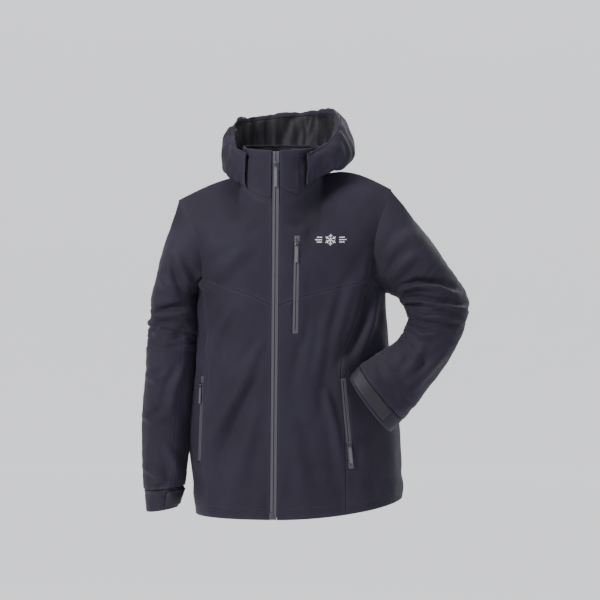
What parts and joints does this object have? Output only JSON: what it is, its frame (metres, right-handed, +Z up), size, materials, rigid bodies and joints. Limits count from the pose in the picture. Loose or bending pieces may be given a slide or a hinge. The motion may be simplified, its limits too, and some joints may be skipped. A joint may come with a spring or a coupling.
{
  "type": "ski jacket",
  "caption": "Insulated hooded ski jacket with a full-length front zip, zipped chest and hand pockets, a lowered hood and cuff straps, shaped as when it is worn.",
  "frame": {"origin": "middle of the neck opening, level with the points where the shoulder seams meet the collar", "axes": "+Z up along the jacket, -Y out of its front, +X towards the wearer's left"},
  "size_m": [0.7046, 0.3793, 0.8674],
  "materials": {
    "shell_cloth": "matt woven softshell, charcoal with a faint violet tint",
    "lining_cloth": "smooth black taffeta",
    "zip_tape": "laminated, satin grey",
    "gunmetal": "gunmetal plating",
    "soft_rubber": "matt moulded rubber",
    "zip_coil": "nylon coil",
    "embroidery": "raised white thread"
  },
  "bodies": {
    "jacket": {"right_front_panel": "shell_cloth", "left_front_panel": "shell_cloth", "right_front_yoke": "shell_cloth", "left_front_yoke": "shell_cloth", "right_side_panel": "shell_cloth", "left_side_panel": "shell_cloth", "back_panel": "shell_cloth", "back_yoke": "shell_cloth", "right_collar": "shell_cloth", "left_collar": "shell_cloth", "hood_rim": "shell_cloth", "left_hood_panel": "shell_cloth", "centre_hood_panel": "shell_cloth", "right_hood_panel": "shell_cloth", "right_upper_sleeve": "shell_cloth", "left_upper_sleeve": "shell_cloth", "right_elbow": "shell_cloth", "left_elbow": "shell_cloth", "wind_flap": "shell_cloth", "right_front_lining": "lining_cloth", "left_front_lining": "lining_cloth", "right_side_lining": "lining_cloth", "left_side_lining": "lining_cloth", "back_lining": "lining_cloth", "collar_lining": "lining_cloth", "hood_lining": "lining_cloth", "chest_pocket_bag": "lining_cloth", "right_hand_pocket_bag": "lining_cloth", "left_hand_pocket_bag": "lining_cloth", "main_zip_right_tape": "zip_tape", "main_zip_left_tape": "zip_tape", "chest_pocket_zip_tape": "zip_tape", "right_hand_pocket_zip_tape": "zip_tape", "left_hand_pocket_zip_tape": "zip_tape", "main_zip_right_coil": "zip_coil", "main_zip_left_coil": "zip_coil", "chest_emblem": "embroidery", "main_zip_insertion_box": "gunmetal"},
    "main_slider": {"main_zip_slider": "gunmetal"},
    "main_pull": {"main_zip_puller": "soft_rubber"},
    "chest_slider": {"chest_pocket_zip_slider": "gunmetal"},
    "chest_pull": {"chest_pocket_zip_puller": "soft_rubber"},
    "right_hand_slider": {"right_hand_pocket_zip_slider": "gunmetal"},
    "right_hand_pull": {"right_hand_pocket_zip_puller": "soft_rubber"},
    "left_hand_slider": {"left_hand_pocket_zip_slider": "gunmetal"},
    "left_hand_pull": {"left_hand_pocket_zip_puller": "soft_rubber"},
    "right_forearm": {"right_lower_sleeve": "shell_cloth", "right_cuff": "shell_cloth", "right_cuff_loop_patch": "lining_cloth"},
    "right_tab": {"right_cuff_tab": "soft_rubber"},
    "left_forearm": {"left_lower_sleeve": "shell_cloth", "left_cuff": "shell_cloth", "left_cuff_loop_patch": "lining_cloth"},
    "left_tab": {"left_cuff_tab": "soft_rubber"}
  },
  "joints": [
    {"name": "main_zip_slide", "type": "slide", "parent": "jacket", "child": "main_slider", "axis": [0, 0.0736, 0.9973], "range_m": [-0.73, 0]},
    {"name": "main_puller_swing", "type": "hinge", "parent": "main_slider", "child": "main_pull", "pos_m": [0, -0.10645, 0.04239], "axis": [-1, 0, 0], "range_deg": [0, 150]},
    {"name": "chest_zip_slide", "type": "slide", "parent": "jacket", "child": "chest_slider", "axis": [0.0095, 0.086, 0.9963], "range_m": [-0.175, 0]},
    {"name": "chest_puller_swing", "type": "hinge", "parent": "chest_slider", "child": "chest_pull", "pos_m": [0.04604, -0.11818, -0.126], "axis": [-0.9995, -0.0299, 0.0121], "range_deg": [0, 150]},
    {"name": "right_hand_zip_slide", "type": "slide", "parent": "jacket", "child": "right_hand_slider", "axis": [0.0296, 0.0559, 0.998], "range_m": [-0.148, 0]},
    {"name": "right_hand_puller_swing", "type": "hinge", "parent": "right_hand_slider", "child": "right_hand_pull", "pos_m": [-0.16547, -0.0843, -0.43159], "axis": [-0.6314, 0.775, -0.0247], "range_deg": [0, 150]},
    {"name": "left_hand_zip_slide", "type": "slide", "parent": "jacket", "child": "left_hand_slider", "axis": [-0.0974, 0.049, 0.994], "range_m": [-0.036, 0.126]},
    {"name": "left_hand_puller_swing", "type": "hinge", "parent": "left_hand_slider", "child": "left_hand_pull", "pos_m": [0.16033, -0.12772, -0.55264], "axis": [-0.9341, -0.3492, -0.0743], "range_deg": [0, 150]},
    {"name": "right_elbow_bend", "type": "hinge", "parent": "jacket", "child": "right_forearm", "pos_m": [-0.235, -0.005, -0.317], "axis": [-1, 0, 0], "range_deg": [0, 60], "deforming": ["right_elbow"]},
    {"name": "left_elbow_bend", "type": "hinge", "parent": "jacket", "child": "left_forearm", "pos_m": [0.3415, -0.022, -0.278], "axis": [-0.3467, 0.853, -0.3902], "range_deg": [-45, 0], "deforming": ["left_elbow"]},
    {"name": "right_tab_peel", "type": "hinge", "parent": "right_forearm", "child": "right_tab", "pos_m": [-0.24144, -0.09177, -0.67925], "axis": [-0.0468, -0.0889, -0.9949], "range_deg": [0, 22]},
    {"name": "left_tab_peel", "type": "hinge", "parent": "left_forearm", "child": "left_tab", "pos_m": [0.24495, -0.19666, -0.4864], "axis": [0.6147, 0.4146, 0.671], "range_deg": [0, 70]}
  ]
}
